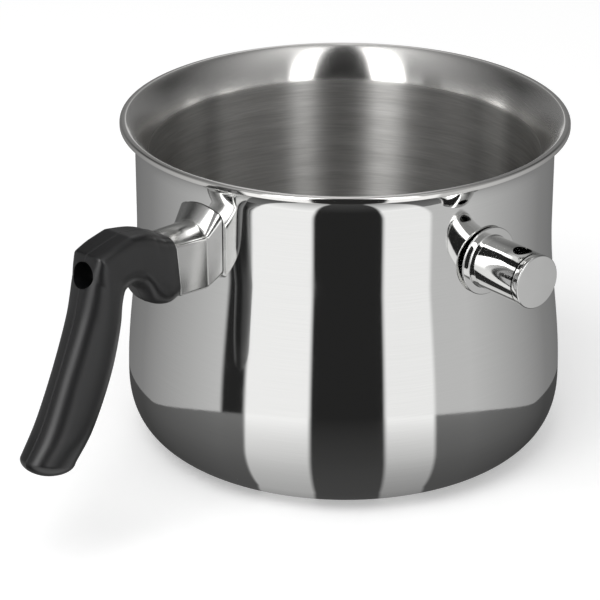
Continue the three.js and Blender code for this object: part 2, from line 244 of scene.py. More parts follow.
@dataclass(frozen=True)
class Drilling:
    """A round hole through a turned wall, inside a square window of its grid."""

    radius: float
    height: float
    first: int
    last: int
    half: int
    columns: int
    rings: int = 7

    def angles(self) -> Array:
        """The columns' angles; the window's middle column is at zero."""
        return (np.arange(self.columns + 1) - self.half) * 2 * np.pi / self.columns

    def cut(self, skin: Skin, profile: Array) -> Array:
        """Adds the turned wall with its hole at angle zero.

        The window's border is carried to the hole's edge in steps: angle and height are mixed in equal
        shares, and the radius is read from the profile. A hole point at turn t has height
        h + R sin t and angle arcsin(R cos t / wall radius).

        Args:
            skin: takes the grids.
            profile: rows of radius and height, with heights that rise through the window.

        Returns:
            The closed edge of the hole.
        """
        angle = self.angles()
        wall = turn(profile, angle)
        skin.add(wall[: self.first + 1]).add(wall[self.last:])
        skin.add(wall[self.first: self.last + 1, 2 * self.half:])
        window = profile[self.first: self.last + 1]
        across = angle[: 2 * self.half + 1]
        up = window[:, 1]
        border = np.concatenate([
            pairs(across[:-1], up[0]), pairs(across[-1], up[:-1]),
            pairs(across[:0:-1], up[-1]), pairs(across[0], up[:0:-1]), [[across[0], up[0]]],
        ])
        middle = np.interp(self.height, up, window[:, 0])
        bearing = np.arctan2(border[:, 1] - self.height, border[:, 0] * middle)
        edge_height = self.height + self.radius * np.sin(bearing)
        edge_angle = np.arcsin(self.radius * np.cos(bearing) / np.interp(edge_height, up, window[:, 0]))
        edge = pairs(edge_angle, edge_height)
        share = np.linspace(0, 1, self.rings)[:, None, None]
        mixed = border * (1 - share) + edge * share
        radius = np.interp(mixed[..., 1], up, window[:, 0])
        patch = np.stack(
            [radius * np.cos(mixed[..., 0]), radius * np.sin(mixed[..., 0]), mixed[..., 1]], axis=-1)
        skin.add(patch)
        return patch[-1]


NECK_TURN = np.array([
    [0, math.sin(NECK_AZIMUTH), math.cos(NECK_AZIMUTH)],
    [0, -math.cos(NECK_AZIMUTH), math.sin(NECK_AZIMUTH)],
    [1, 0, 0],
])
HANDLE_TURN = np.diag([-1.0, -1.0, 1.0])


# Shaders

class Wire:
    """A value in a node tree; arithmetic on it adds Math nodes."""

    def __init__(self, tree: "Tree", socket: bpy.types.NodeSocket) -> None:
        """Wraps one output socket."""
        self.tree = tree
        self.socket = socket

    def math(self, operation: str, *others: "Wire | float", first: "Wire | float | None" = None) -> "Wire":
        """Adds one Math node.

        Args:
            operation: Blender's name of it.
            others: the further operands.
            first: an operand to stand before this value.

        Returns:
            The node's value.
        """
        operands = [self, *others] if first is None else [first, self, *others]
        return self.tree.add("ShaderNodeMath", {"operation": operation}, dict(enumerate(operands)))

    def __add__(self, other: "Wire | float") -> "Wire":
        """This plus other."""
        return self.math("ADD", other)

    __radd__ = __add__

    def __mul__(self, other: "Wire | float") -> "Wire":
        """This times other."""
        return self.math("MULTIPLY", other)

    __rmul__ = __mul__

    def __sub__(self, other: "Wire | float") -> "Wire":
        """This minus other."""
        return self.math("SUBTRACT", other)

    def __rsub__(self, other: "Wire | float") -> "Wire":
        """Other minus this."""
        return self.math("SUBTRACT", first=other)

    def __pow__(self, other: "Wire | float") -> "Wire":
        """This to the power of other."""
        return self.math("POWER", other)

    def between(self, low: float, high: float) -> "Wire":
        """A smooth step from 0 at low to 1 at high."""
        return self.tree.add("ShaderNodeMapRange", {"interpolation_type": "SMOOTHSTEP"},
                             {"Value": self, "From Min": low, "From Max": high})


class Tree:
    """The nodes of one material or of the world."""

    def __init__(self, owner: bpy.types.Material | bpy.types.World) -> None:
        """Empties the owner's node tree."""
        owner.use_nodes = True
        self.tree = owner.node_tree
        self.tree.nodes.clear()

    def node(self, kind: str, settings: dict | None = None, inputs: dict | None = None) -> bpy.types.Node:
        """Adds a node of any type.

        Args:
            kind: its type.
            settings: attributes, set first.
            inputs: values or wires by socket name or number.

        Returns:
            The node.
        """
        node = self.tree.nodes.new(kind)
        for name, value in (settings or {}).items():
            setattr(node, name, value)
        for name, value in (inputs or {}).items():
            if isinstance(value, Wire):
                self.tree.links.new(value.socket, node.inputs[name])
            else:
                node.inputs[name].default_value = value
        return node

    def add(self, kind: str, settings: dict | None = None, inputs: dict | None = None,
            output: str | int = 0) -> Wire:
        """Adds a node of any type and returns one of its outputs."""
        return Wire(self, self.node(kind, settings, inputs).outputs[output])

    def coordinates(self) -> tuple[Wire, Wire, Wire]:
        """The object coordinates' three parts, in metres."""
        parts = self.node("ShaderNodeSeparateXYZ", inputs={0: self.place()})
        return tuple(Wire(self, socket) for socket in parts.outputs)

    def place(self) -> Wire:
        """The object coordinates as a vector, in metres."""
        return self.add("ShaderNodeTexCoord", output="Object")

    def vector(self, x: Wire | float, y: Wire | float, z: Wire | float) -> Wire:
        """Joins three values into a vector."""
        return self.add("ShaderNodeCombineXYZ", inputs={0: x, 1: y, 2: z})

    def noise(self, vector: Wire, scale: float, detail: float = 2.0, roughness: float = 0.5) -> Wire:
        """Perlin noise from 0 to 1 over a vector."""
        return self.add("ShaderNodeTexNoise", inputs={
            "Vector": vector, "Scale": scale, "Detail": detail, "Roughness": roughness})

    def shade(self, share: Wire, low: Sequence[float], high: Sequence[float]) -> Wire:
        """Mixes two colours by a share."""
        return self.add("ShaderNodeMix", {"data_type": "RGBA"}, {
            "Factor": share, "A": (*low, 1.0), "B": (*high, 1.0)}, output="Result")

    def bump(self, height: Wire, strength: float = 1.0) -> Wire:
        """A normal that follows a height in metres."""
        return self.add("ShaderNodeBump", inputs={
            "Height": height, "Strength": strength, "Distance": 1.0})

    def surface(self, shader: Wire, world: bool = False) -> None:
        """Ends the tree in its output."""
        kind = "ShaderNodeOutputWorld" if world else "ShaderNodeOutputMaterial"
        self.node(kind, inputs={"Surface": shader})


@dataclass(frozen=True)
class Finish:
    """A finish of a material: its colours and roughness, and the marks that vary them."""

    name: str
    dark: tuple[float, float, float]
    light: tuple[float, float, float]
    roughness: float
    roughness_swing: float
    metallic: float = 1.0

    def material(self) -> bpy.types.Material:
        """Makes the material once, and finds it afterwards.

        Returns:
            The material.
        """
        found = bpy.data.materials.get(self.name)
        if found:
            return found
        made = bpy.data.materials.new(self.name)
        tree = Tree(made)
        colour, rough, normal = self.marks(tree)
        tree.surface(tree.add("ShaderNodeBsdfPrincipled", inputs={
            "Base Color": colour, "Roughness": rough, "Normal": normal, "Metallic": self.metallic,
            **self.constants()}))
        return made

    def constants(self) -> dict[str, float]:
        """Shader values that are the same all over."""
        return {}

    def marks(self, tree: Tree) -> tuple[Wire, Wire, Wire]:
        """Colour, roughness and normal.

        Args:
            tree: takes the nodes.

        Returns:
            The three wires.
        """
        raise NotImplementedError

    def tone(self, tree: Tree, share: Wire) -> Wire:
        """The finish's colour between dark and light."""
        return tree.shade(share, self.dark, self.light)

    def gloss(self, share: Wire) -> Wire:
        """The finish's roughness, raised by a share of its swing."""
        return share * self.roughness_swing + self.roughness


@dataclass(frozen=True)
class PolishedFinish(Finish):
    """Mirror polish: faint turning lines, a slight waviness and soft wipe marks."""

    line_depth: float = 0.000002
    line_scale: float = 4200.0
    line_drift: float = 40.0
    wave_depth: float = 0.00002
    wave_scale: float = 26.0
    wipe_scale: float = 60.0

    def marks(self, tree: Tree) -> tuple[Wire, Wire, Wire]:
        """Lines round the axis vary with height alone; waves and wipes drift over the surface.

        Args:
            tree: takes the nodes.

        Returns:
            Colour, roughness and normal.
        """
        x, y, z = tree.coordinates()
        place = tree.place()
        lines = tree.noise(
            tree.vector(x * self.line_drift, y * self.line_drift, z * self.line_scale), 1.0, 3.0)
        waves = tree.noise(place, self.wave_scale, 1.0)
        wipes = tree.noise(place, self.wipe_scale, 5.0, 0.62).between(0.45, 0.75)
        normal = tree.bump(lines * self.line_depth + waves * self.wave_depth)
        return self.tone(tree, lines), self.gloss(wipes), normal


@dataclass(frozen=True)
class BrushedFinish(Finish):
    """Brushed all round: short scratches along the turn, fine across it."""

    scratch_depth: float = 0.000006
    long_scratch: tuple[float, float] = (5.0, 1200.0)
    short_scratch: tuple[float, float] = (22.0, 2600.0)
    band: tuple[float, float] = (1.2, 260.0)
    flare_heights: tuple[float, float] = (0.1065, 0.1095)
    flare_roughness: float = 0.19
    flare_brightness: float = 0.8
    lip_radii: tuple[float, float] = (0.0765, 0.0785)
    lip_roughness: float = 0.10

    def constants(self) -> dict[str, float]:
        """Scratches round the axis spread a reflection upright and keep it narrow sideways."""
        return {"Anisotropic": 1.0, "Anisotropic Rotation": 0.25}

    def marks(self, tree: Tree) -> tuple[Wire, Wire, Wire]:
        """Noise over angle, radius and height, stretched along the angle; the lip is polished.

        Args:
            tree: takes the nodes.

        Returns:
            Colour, roughness and normal.
        """
        x, y, z = tree.coordinates()
        radius = (x * x + y * y) ** 0.5
        angle = y.math("ARCTAN2", x)

        def stretched(scales: tuple[float, float]) -> Wire:
            """Angle, radius and height, each times its scale."""
            around, across = scales
            return tree.vector(angle * around, radius * across, z * across)

        long = tree.noise(stretched(self.long_scratch), 1.0, 3.0, 0.6)
        short = tree.noise(stretched(self.short_scratch), 1.0, 2.0, 0.6)
        bands = tree.noise(stretched(self.band), 1.0, 2.0)
        flare = z.between(*self.flare_heights)
        height = long * self.scratch_depth + short * (0.6 * self.scratch_depth)
        rough = self.gloss(short)
        rough = rough + flare * (self.flare_roughness - rough)
        rough = rough + radius.between(*self.lip_radii) * (self.lip_roughness - rough)
        share = long * 0.6 + bands * 0.4 + flare * self.flare_brightness
        return self.tone(tree, share), rough, tree.bump(height)


@dataclass(frozen=True)
class ChromeFinish(Finish):
    """Bright plating with a trace of waviness and handling marks."""

    wave_depth: float = 0.000006

    def marks(self, tree: Tree) -> tuple[Wire, Wire, Wire]:
        """Slow waves bend the reflections; finer spots dull them.

        Args:
            tree: takes the nodes.

        Returns:
            Colour, roughness and normal.
        """
        place = tree.place()
        waves = tree.noise(place, 140.0, 1.0)
        spots = tree.noise(place, 420.0, 4.0, 0.6).between(0.5, 0.8)
        return self.tone(tree, waves), self.gloss(spots), tree.bump(waves * self.wave_depth)


@dataclass(frozen=True)
class MillFinish(Finish):
    """Plain mill steel: grain and dull patches."""

    grain_depth: float = 0.000015

    def marks(self, tree: Tree) -> tuple[Wire, Wire, Wire]:
        """Fine grain over slow patches.

        Args:
            tree: takes the nodes.

        Returns:
            Colour, roughness and normal.
        """
        place = tree.place()
        grain = tree.noise(place, 1800.0, 3.0, 0.6)
        patches = tree.noise(place, 160.0, 3.0)
        return self.tone(tree, patches), self.gloss(grain), tree.bump(grain * self.grain_depth)


@dataclass(frozen=True)
class MouldedFinish(Finish):
    """Moulded surface: a fine satin grain, and handling that polishes it in patches."""

    grain_depth: float = 0.00002
    grain_scale: float = 2200.0
    grain_strength: float = 0.5
    patch_scale: float = 55.0
    ior: float = 1.6
    specular_level: float = 0.6

    def constants(self) -> dict[str, float]:
        """A plain moulding's gloss."""
        return {"IOR": self.ior, "Specular IOR Level": self.specular_level}

    def marks(self, tree: Tree) -> tuple[Wire, Wire, Wire]:
        """Grain gives the satin; slow patches shift its gloss and tone.

        Args:
            tree: takes the nodes.

        Returns:
            Colour, roughness and normal.
        """
        place = tree.place()
        grain = tree.noise(place, self.grain_scale, 2.0, 0.6)
        patches = tree.noise(place, self.patch_scale, 4.0, 0.6)
        normal = tree.bump(grain * self.grain_depth, self.grain_strength)
        return self.tone(tree, patches), self.gloss(patches), normal


POLISHED = PolishedFinish("polished_steel_outside", (0.80, 0.80, 0.79), (0.86, 0.86, 0.85), 0.045, 0.035)
BRUSHED = BrushedFinish("brushed_steel_inside", (0.28, 0.276, 0.268), (0.92, 0.91, 0.89), 0.34, 0.14)
CHROME = ChromeFinish("bright_chrome", (0.80, 0.80, 0.79), (0.86, 0.86, 0.85), 0.06, 0.05)
SATIN = ChromeFinish("satin_chrome", (0.60, 0.60, 0.59), (0.68, 0.68, 0.67), 0.19, 0.04)
MILL = MillFinish("plain_mill_steel", (0.42, 0.42, 0.41), (0.6, 0.6, 0.58), 0.34, 0.16)
BAKELITE = MouldedFinish(
    "satin_black_bakelite", (0.003, 0.003, 0.0035), (0.006, 0.006, 0.0065), 0.31, 0.08, 0.0)
SILICONE = MouldedFinish("grey_silicone", (0.36, 0.36, 0.35), (0.44, 0.44, 0.43), 0.5, 0.15, 0.0)


def dress(piece: bpy.types.Object, finish: Finish, body: Body, node: str) -> None:
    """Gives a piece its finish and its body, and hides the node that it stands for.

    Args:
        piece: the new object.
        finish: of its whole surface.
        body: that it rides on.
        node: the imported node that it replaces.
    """
    piece.data.materials.append(finish.material())
    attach(piece, body.value)
    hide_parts(node)
    log.info("%s rides on %s for %s", piece.name, body.value, node)


def keep(node: str, finish: Finish) -> None:
    """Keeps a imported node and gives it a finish.

    Args:
        node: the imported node.
        finish: of its whole surface.
    """
    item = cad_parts[node]
    item.data.materials.clear()
    item.data.materials.append(finish.material())
    log.info("%s kept, in %s", node, finish.name)


# Sub-assemblies

@dataclass
class OuterBody:
    """The polished shell: rounded corner, bulge, waist, wall with the neck's hole, flared flange."""

    sheet: float = 0.8
    base_radius: float = 59.0
    bulge_radius: float = 79.0
    bulge_height: float = 23.0
    corner_exponent: float = 2.35
    waist_radius: float = 74.7
    waist_height: float = 83.0
    wall_top: float = 110.5
    flare_height: float = 7.6
    flange_radius: float = 78.9
    hole_radius: float = 6.8
    window: float = 9.6
    window_half: int = 8
    corner_steps: int = 40
    lower_steps: int = 56
    window_steps: int = 16
    upper_steps: int = 8
    flare_steps: int = 16
    columns: int = 384

    def wall_radius(self, height: Array) -> Array:
        """Radius by height: a half cosine from the bulge to the waist, then straight.

        Args:
            height: heights in mm.

        Returns:
            One radius for each height.
        """
        share = np.clip((height - self.bulge_height) / (self.waist_height - self.bulge_height), 0, 1)
        swell = (1 + np.cos(np.pi * share)) / 2
        return self.waist_radius + (self.bulge_radius - self.waist_radius) * swell

    def profile(self) -> tuple[Array, int, int]:
        """The outside line.

        The corner is a squared quarter oval: across sin(a)^(2/n), up 1 - cos(a)^(2/n). The flare is a
        quarter oval that leaves the wall upright and ends level.

        Returns:
            Its rows, and the first and last row of the hole's window.
        """
        power = 2 / self.corner_exponent
        turn_angle = np.linspace(0, np.pi / 2, self.corner_steps + 1)
        corner = pairs(
            self.base_radius + (self.bulge_radius - self.base_radius) * np.sin(turn_angle) ** power,
            self.bulge_height * (1 - np.abs(np.cos(turn_angle)) ** power))
        low, high = NECK_HEIGHT - self.window, NECK_HEIGHT + self.window
        heights = np.concatenate([
            np.linspace(self.bulge_height, low, self.lower_steps + 1)[1:],
            np.linspace(low, high, self.window_steps + 1)[1:],
            np.linspace(high, self.wall_top, self.upper_steps + 1)[1:],
        ])
        wall = pairs(self.wall_radius(heights), heights)
        flare_angle = np.linspace(0, np.pi / 2, self.flare_steps + 1)[1:]
        flare = pairs(
            self.waist_radius + (self.flange_radius - self.waist_radius) * (1 - np.cos(flare_angle)),
            self.wall_top + self.flare_height * np.sin(flare_angle))
        first = len(corner) + self.lower_steps
        return rows([0, 0], corner, wall, flare), first, first + self.window_steps

    def build(self) -> bpy.types.Object:
        """Makes the two sides of the sheet, joined at the flange's edge and through the hole.

        Returns:
            The piece.
        """
        outside, first, last = self.profile()
        inside = offset(outside, self.sheet)
        skin = Skin("outer_body_shell")
        drilling = Drilling(self.hole_radius, NECK_HEIGHT, first, last, self.window_half, self.columns)
        skin.add(np.stack([drilling.cut(skin, outside), drilling.cut(skin, inside)]))
        skin.add(turn(rows(outside[-1], inside[-1]), drilling.angles()))
        cosine, sine = math.cos(NECK_AZIMUTH), math.sin(NECK_AZIMUTH)
        skin.place([[cosine, -sine, 0], [sine, cosine, 0], [0, 0, 1]])
        return skin.build()

    def dress(self) -> None:
        """Builds and finishes the shell."""
        dress(self.build(), POLISHED, Body.POT, "outer_body")


@dataclass
class InnerPot:
    """The brushed pot whose flared edge folds over the flange as the lip."""

    sheet: float = 0.8
    radius: float = 70.0
    corner: float = 14.0
    floor: float = 12.8
    height: float = 120.0
    flare_height: float = 12.0
    flare_exponent: float = 1.35
    flare_end: float = 78.0
    lip_radius: float = 80.0
    lip_round: float = 0.9
    hem_drop: float = 2.1
    hem_round: float = 0.35
    columns: int = 384

    def inside(self) -> Array:
        """The inside line: floor, quarter-circle corner, straight wall, and a flare.

        The flare is a flattened quarter oval: outwards 1 - cos(a)^(2/n), up sin(a)^(2/n).

        Returns:
            Its rows of radius and height.
        """
        power = 2 / self.flare_exponent
        corner = bend((self.radius - self.corner, self.floor + self.corner), self.corner, -90, 0, 28)
        wall_top = self.height - self.flare_height
        wall = pairs(self.radius, np.linspace(self.floor + self.corner, wall_top, 40)[1:])
        angle = np.linspace(0, np.pi / 2, 33)[1:]
        flare = pairs(
            self.flare_end - (self.flare_end - self.radius) * np.abs(np.cos(angle)) ** power,
            wall_top + self.flare_height * np.sin(angle) ** power)
        return rows([0, self.floor], corner, wall, flare)

    def build(self) -> bpy.types.Object:
        """Makes one closed profile, with the hem's rounded edges, and turns it.

        Returns:
            The piece.
        """
        inside = self.inside()
        outside = offset(inside, -self.sheet)
        outside[0, 0] = 0
        low = self.height - self.hem_drop
        hem = rows(
            bend((self.lip_radius - self.lip_round, self.height - self.lip_round), self.lip_round, 90, 0, 8),
            bend((self.lip_radius - self.hem_round, low + self.hem_round), self.hem_round, 0, -90, 5),
            [self.lip_radius - self.sheet, low],
            [self.lip_radius - self.sheet, self.height - self.sheet],
        )
        return Skin("inner_pot_shell").add(lathe(rows(inside, hem, outside[::-1]), self.columns)).build()

    def dress(self) -> None:
        """Builds and finishes the pot."""
        dress(self.build(), BRUSHED, Body.POT, "inner_pot")


@dataclass
class FillerNeck:
    """The short tube that the jacket is filled through, with its flange inside the wall."""

    bore: float = 5.5
    radius: float = 6.5
    flange_radius: float = 8.5
    flange_back: float = 72.21
    flange_front: float = 73.11
    end: float = 83.7
    edge: float = 0.5
    flange_round: float = 0.2
    fillet: float = 0.4
    columns: int = 96

    def build(self) -> bpy.types.Object:
        """Turns the closed profile and lays its axis along the neck.

        Returns:
            The piece.
        """
        profile = rows(
            [self.bore, self.flange_back],
            [self.flange_radius, self.flange_back],
            bend((self.flange_radius - self.flange_round, self.flange_front - self.flange_round),
                 self.flange_round, 0, 90, 3),
            bend((self.radius + self.fillet, self.flange_front + self.fillet), self.fillet, 270, 180, 4),
            bend((self.radius - self.edge, self.end - self.edge), self.edge, 0, 180, 8),
            [self.bore, self.flange_back],
        )
        skin = Skin("filler_neck_tube").add(lathe(profile, self.columns))
        return skin.on_neck().build()

    def dress(self) -> None:
        """Builds and finishes the neck."""
        dress(self.build(), MILL, Body.POT, "filler_neck")


@dataclass
class Whistle:
    """The push-on whistle: a tube with a bead and a sound hole, an end cap and a sealing sleeve."""

    start: float = 75.3
    bore: float = 8.45
    radius: float = 9.3
    bead_radius: float = 12.1
    bead_width: float = 0.8
    bead_foot: float = 0.4
    mouth_radius: float = 3.25
    mouth_centre: float = 92.0
    mouth_window: float = 4.0
    mouth_half: int = 8
    foot_steps: int = 10
    mouth_steps: int = 16
    tube_end: float = 96.2
    spigot_radius: float = 8.15
    spigot_length: float = 1.0
    groove_radius: float = 9.0
    cap_back: float = 96.8
    cap_front: float = 99.5
    cap_radius: float = 9.4
    cap_edge: float = 0.5
    cap_gap: float = 0.3
    small_round: float = 0.3
    seal_back: float = 76.5
    seal_front: float = 82.5
    seal_inner: float = 6.8
    seal_lead: float = 0.45
    rib_depth: float = 0.35
    ribs: int = 3
    columns: int = 96

    def tube(self) -> bpy.types.Object:
        """Two turned walls with the sound hole on top; the bead is a flange with a half-round rim.

        Returns:
            The piece.
        """
        rim = self.bead_width / 2
        bead = bend((self.bead_radius - rim, self.start + rim), rim, -90, 90, 14)
        foot = self.start + self.bead_width + self.bead_foot
        fillet = bend((self.radius + self.bead_foot, foot), self.bead_foot, 270, 180, 6)
        low, high = self.mouth_centre - self.mouth_window, self.mouth_centre + self.mouth_window
        runs = np.concatenate([
            np.linspace(foot, low, self.foot_steps + 1)[1:],
            np.linspace(low, high, self.mouth_steps + 1)[1:], [self.tube_end]])
        outside = rows(bead, fillet, pairs(self.radius, runs))
        inner_runs = np.concatenate([np.linspace(self.start, foot, len(bead) + len(fillet)), runs])
        inside = pairs(self.bore, inner_runs)
        first = len(bead) + len(fillet) + self.foot_steps - 1
        drilling = Drilling(self.mouth_radius, self.mouth_centre, first, first + self.mouth_steps,
                            self.mouth_half, self.columns)
        skin = Skin("whistle_tube_shell")
        skin.add(np.stack([drilling.cut(skin, outside), drilling.cut(skin, inside)]))
        angle = drilling.angles()
        skin.add(turn(rows(outside[0], inside[0]), angle)).add(turn(rows(outside[-1], inside[-1]), angle))
        return skin.on_neck().build()

    def cap(self) -> bpy.types.Object:
        """A turned disc with rounded edges, behind it a groove and the spigot that goes into the tube.

        Returns:
            The piece.
        """
        profile = rows(
            [0, self.tube_end - self.spigot_length],
            [self.spigot_radius, self.tube_end - self.spigot_length],
            [self.spigot_radius, self.tube_end + self.cap_gap],
            [self.groove_radius, self.tube_end + self.cap_gap],
            [self.groove_radius, self.cap_back],
            bend((self.cap_radius - self.small_round, self.cap_back + self.small_round),
                 self.small_round, -90, 0, 5),
            bend((self.cap_radius - self.cap_edge, self.cap_front - self.cap_edge), self.cap_edge, 0, 90, 7),
            [0, self.cap_front],
        )
        skin = Skin("whistle_cap_disc").add(lathe(profile, self.columns))
        return skin.on_neck().build()

    def seal(self) -> bpy.types.Object:
        """A turned sleeve whose bore has soft ribs: radius plus depth times (1 - cos) of the ribs' turn.

        Returns:
            The piece.
        """
        small = self.small_round
        share = np.linspace(0, 1, 49)
        along = self.seal_front + (self.seal_back + self.seal_lead - self.seal_front) * share
        ribs = self.seal_inner + self.rib_depth * (1 - np.cos(2 * np.pi * self.ribs * share)) / 2
        profile = rows(
            [self.seal_inner + self.seal_lead, self.seal_back],
            bend((self.spigot_radius - small, self.seal_back + small), small, -90, 0, 4),
            bend((self.spigot_radius - small, self.seal_front - small), small, 0, 90, 4),
            pairs(ribs, along),
            [self.seal_inner + self.seal_lead, self.seal_back],
        )
        skin = Skin("whistle_seal_sleeve").add(lathe(profile, self.columns))
        return skin.on_neck().build()

    def dress(self) -> None:
        """Builds and finishes the whistle's pieces."""
        dress(self.tube(), CHROME, Body.WHISTLE, "whistle_tube")
        dress(self.cap(), CHROME, Body.WHISTLE, "whistle_end_cap")
        dress(self.seal(), SILICONE, Body.SEAL, "whistle_seal")
        keep("whistle_windway", MILL)


@dataclass
class Ferrule:
    """The chromed sleeve: an arched straight stretch at the grip and a flare onto the wall."""

    seat: float = 75.0
    fold: float = 79.9
    end: float = 94.0
    wall: float = 0.9
    axis_height: float = 92.5
    rise: float = math.tan(math.radians(6.0))
    lean: float = math.tan(math.radians(6.5))
    half_width: float = 8.2
    low: float = -10.1
    high: float = 9.2
    corner: float = 1.4
    crown: float = 2.6
    fold_crown: float = 3.8
    belly: float = 1.0
    flare_half_width: float = 9.7
    flare_low: float = 83.4
    flare_high: float = 107.2
    flare_corner: float = 3.0
    flare_crown: float = 1.4
    ease: float = 0.7
    crease: float = 24.0

    def section(self, flare: bool, inset: float, crown: float) -> Array:
        """A rectangle with round corners whose top and bottom rise by crown times (1 - share squared).

        Args:
            flare: the section at the wall, or else the straight one.
            inset: how far inside the outer skin.
            crown: of the top.

        Returns:
            A closed ring of sideways distance and height.
        """
        half, low, high, corner = (
            (self.flare_half_width, self.flare_low, self.flare_high, self.flare_corner)
            if flare else (self.half_width, self.low, self.high, self.corner))
        half, low, high, corner = half - inset, low + inset, high - inset, corner - inset
        flat = half - corner
        across = np.linspace(1, -1, 33)[1:-1]
        top = pairs(flat * across, high + crown * (1 - across**2))
        bottom = pairs(-flat * across, low - self.belly * (1 - across**2))
        return rows(
            bend((flat, high - corner), corner, 0, 90, 8), top,
            bend((-flat, high - corner), corner, 90, 180, 8),
            bend((-flat, low + corner), corner, 180, 270, 8), bottom,
            bend((flat, low + corner), corner, 270, 360, 8), [half, high - corner])

    def ring(self, distance: float, inset: float, lean: float, crown: float) -> Array:
        """The straight section at a distance from the pot's axis.

        Args:
            distance: where it crosses the axis height.
            inset: how far inside the outer skin.
            lean: outward run per height; the section also rises by rise per outward run.
            crown: of the top.

        Returns:
            A closed ring of distance, sideways and height.
        """
        section = self.section(False, inset, crown)
        along = distance + section[:, 1] * lean
        height = self.axis_height + section[:, 1] + (along - self.end) * self.rise
        return np.column_stack([along, section[:, 0], height])

    def wall_ring(self, inset: float) -> Array:
        """The flared section on the wall: distance is the root of seat squared less sideways squared."""
        section = self.section(True, inset, self.flare_crown)
        return np.column_stack([np.sqrt(self.seat**2 - section[:, 0] ** 2), section])

    def side(self, inset: float) -> Array:
        """One side of the sheet: straight from the wall to the fold, eased, and straight to the end.

        Args:
            inset: how far inside the outer skin.

        Returns:
            Rings by points.
        """
        start, fold = self.wall_ring(inset), self.ring(self.fold, inset, 0.0, self.fold_crown)
        end = self.ring(self.end - self.wall / 2, inset, self.lean, self.crown)
        away, onward = start - fold, end - fold
        away /= np.linalg.norm(away, axis=1, keepdims=True)
        onward /= np.linalg.norm(onward, axis=1, keepdims=True)
        share = np.linspace(0, 1, 7)[:, None, None]
        eased = fold + self.ease * ((1 - share) ** 2 * away + share**2 * onward)
        return np.concatenate([start[None], eased, end[None]])

    def build(self) -> bpy.types.Object:
        """Joins the two sides by a half-round edge at the grip and a plain edge at the wall.

        Returns:
            The piece.
        """
        outside, inside = self.side(0.0), self.side(self.wall)
        angle = np.linspace(0, np.pi, 9)[1:-1]
        half = self.wall / 2
        lip = np.stack([
            self.ring(self.end - half + half * math.sin(a), half * (1 - math.cos(a)), self.lean, self.crown)
            for a in angle])
        skin = Skin("handle_ferrule_sleeve")
        skin.add(np.concatenate([outside, lip, inside[::-1], outside[:1]]))
        return skin.place(HANDLE_TURN).build(self.crease)

    def dress(self) -> None:
        """Builds and finishes the ferrule."""
        dress(self.build(), SATIN, Body.POT, "handle_ferrule")


